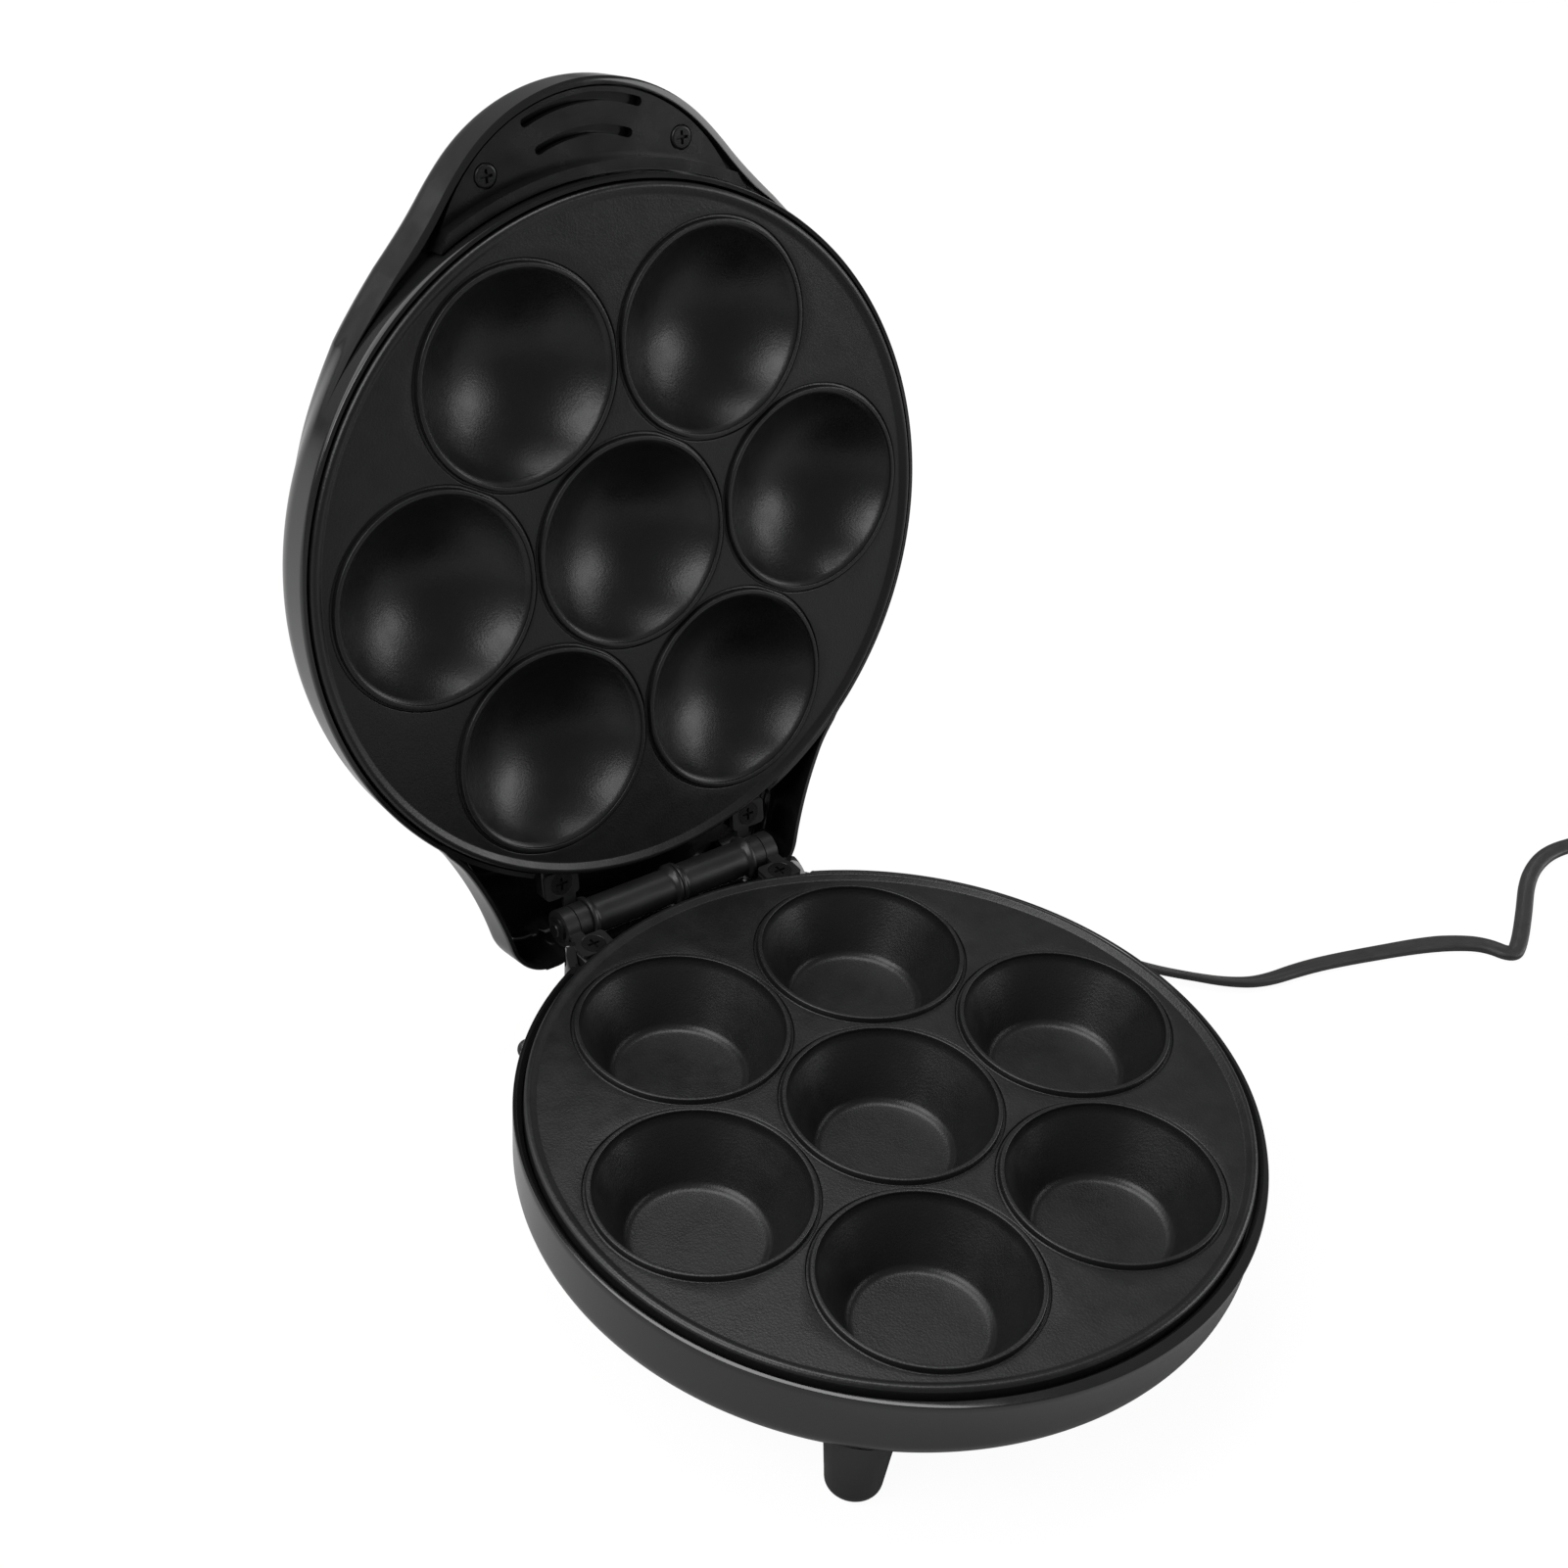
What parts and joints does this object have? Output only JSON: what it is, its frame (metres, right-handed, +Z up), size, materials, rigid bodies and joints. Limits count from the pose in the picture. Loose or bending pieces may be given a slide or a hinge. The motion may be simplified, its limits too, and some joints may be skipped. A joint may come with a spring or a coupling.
{
  "type": "cake pop maker",
  "caption": "Round countertop cake pop maker with a hinged domed lid, cast plates with cup hollows, wing handle, four feet and mains lead, shown open.",
  "frame": {"origin": "on the worktop plane, under the centre of the lower plate", "axes": "+Z up; +Y towards the hinge at the back; +X to the right of someone facing the open plates; the hinge axis runs along X"},
  "size_m": [0.4943, 0.2844, 0.2613],
  "materials": {
    "gloss_black": "polished moulded plastic",
    "satin_black": "fine-grained moulded plastic",
    "nonstick": "cast aluminium with a satin black non-stick coating",
    "pad_rubber": "matt",
    "heater_steel": "dull steel sheath",
    "plated_steel": "zinc plated",
    "black_steel": "black coated steel",
    "bright_sheet": "bright rolled sheet",
    "block_plastic": "heat-proof moulding",
    "lead_sleeve": "glass-braid sleeve",
    "cord_jacket": "soft satin jacket",
    "blade_brass": "plated brass",
    "red_lens": "clear red",
    "green_lens": "clear green"
  },
  "bodies": {
    "base": {"base_housing": "gloss_black", "bottom_cover": "satin_black", "foot_pads": "pad_rubber", "lower_plate": "nonstick", "lower_heater": "heater_steel", "lower_heater_clamps": "plated_steel", "lower_clamp_screws": "plated_steel", "reflector": "bright_sheet", "thermostat": "block_plastic", "terminal_block": "block_plastic", "tie_screws": "plated_steel", "base_wiring": "lead_sleeve", "lower_hinge_straps": "black_steel", "lower_ear_screws": "black_steel", "hinge_pin": "black_steel", "hinge_clips": "black_steel", "hinge_sleeve_left": "black_steel", "strain_relief": "satin_black", "cord": "cord_jacket", "cord_coil": "cord_jacket", "plug_body": "satin_black", "plug_blades": "blade_brass"},
    "lid": {"lid_shell": "gloss_black", "upper_plate": "nonstick", "handle_cover": "satin_black", "handle_screws": "black_steel", "upper_heater": "heater_steel", "upper_heater_clamps": "plated_steel", "upper_clamp_screws": "plated_steel", "upper_hinge_straps": "black_steel", "upper_ear_screws": "black_steel", "hinge_sleeve_right": "black_steel", "power_lamp_lens": "red_lens", "ready_lamp_lens": "green_lens"}
  },
  "joints": [
    {"name": "lid_hinge", "type": "hinge", "parent": "base", "child": "lid", "pos_m": [0, 0.1055, 0.041], "axis": [1, 0, 0], "range_deg": [0, 102.7]}
  ]
}
